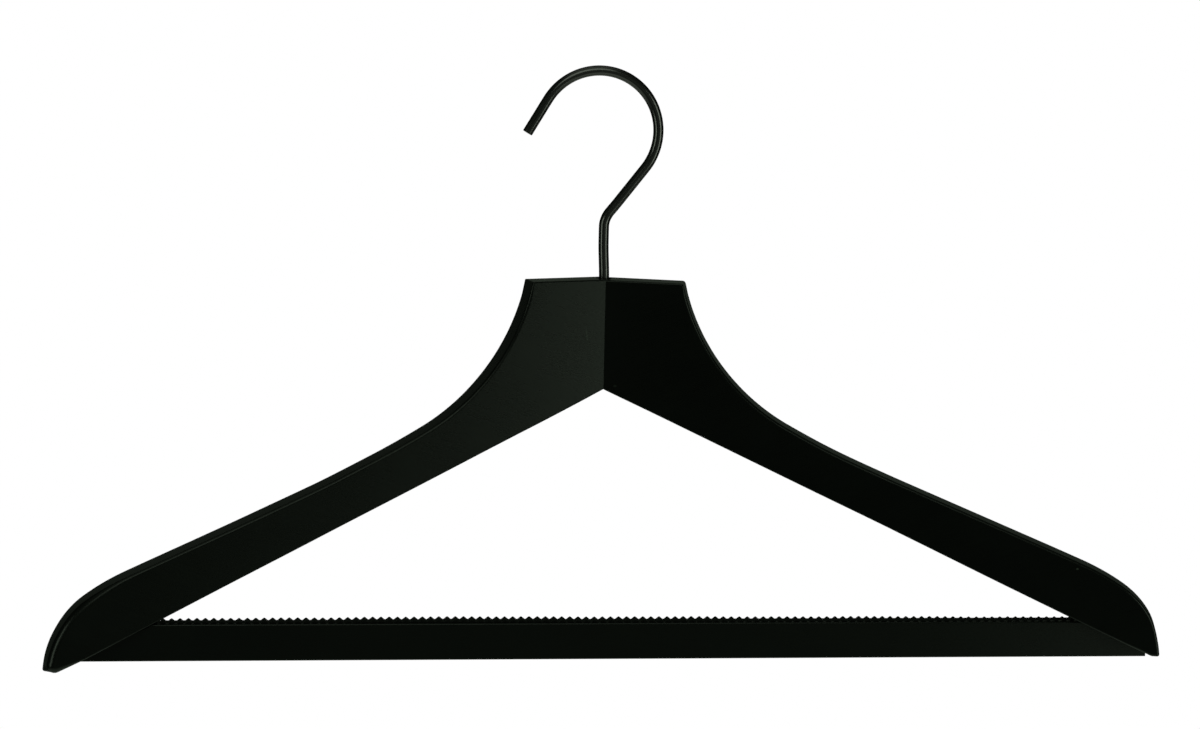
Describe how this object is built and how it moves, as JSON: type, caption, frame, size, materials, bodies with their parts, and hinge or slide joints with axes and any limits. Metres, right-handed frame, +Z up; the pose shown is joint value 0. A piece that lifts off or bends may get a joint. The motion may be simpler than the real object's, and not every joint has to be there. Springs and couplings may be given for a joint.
{
  "type": "trouser hanger",
  "caption": "Black lacquered wooden hanger: swept shoulder boards, a swivelling wire hook and a fixed trouser bar with a ribbed anti-slip strip.",
  "frame": {"origin": "the point on the inside of the hook's loop, at its top, where the rail carries the hanger", "axes": "+Z up, parallel to the hook's shank; +X to the right seen from the front; -Y towards the viewer, the way the shoulders are swept"},
  "size_m": [0.452, 0.0702, 0.2372],
  "materials": {
    "lacquered_wood": "satin black lacquer over close-grained hardwood",
    "black_wire": "semi-gloss black coating",
    "grip_rubber": "matt black, ribbed",
    "steel": "bright zinc"
  },
  "bodies": {
    "hook_body": {"hook": "black_wire"},
    "hanger": {"left_arm": "lacquered_wood", "right_arm": "lacquered_wood", "hook_bush": "steel", "hook_washer": "steel", "trouser_bar": "lacquered_wood", "grip_strip": "grip_rubber", "bar_screws": "steel"}
  },
  "joints": [
    {"name": "hook_swivel", "type": "hinge", "parent": "hook_body", "child": "hanger", "pos_m": [0.0034, 0, -0.0832], "axis": [0, 0, 1], "continuous": true}
  ]
}
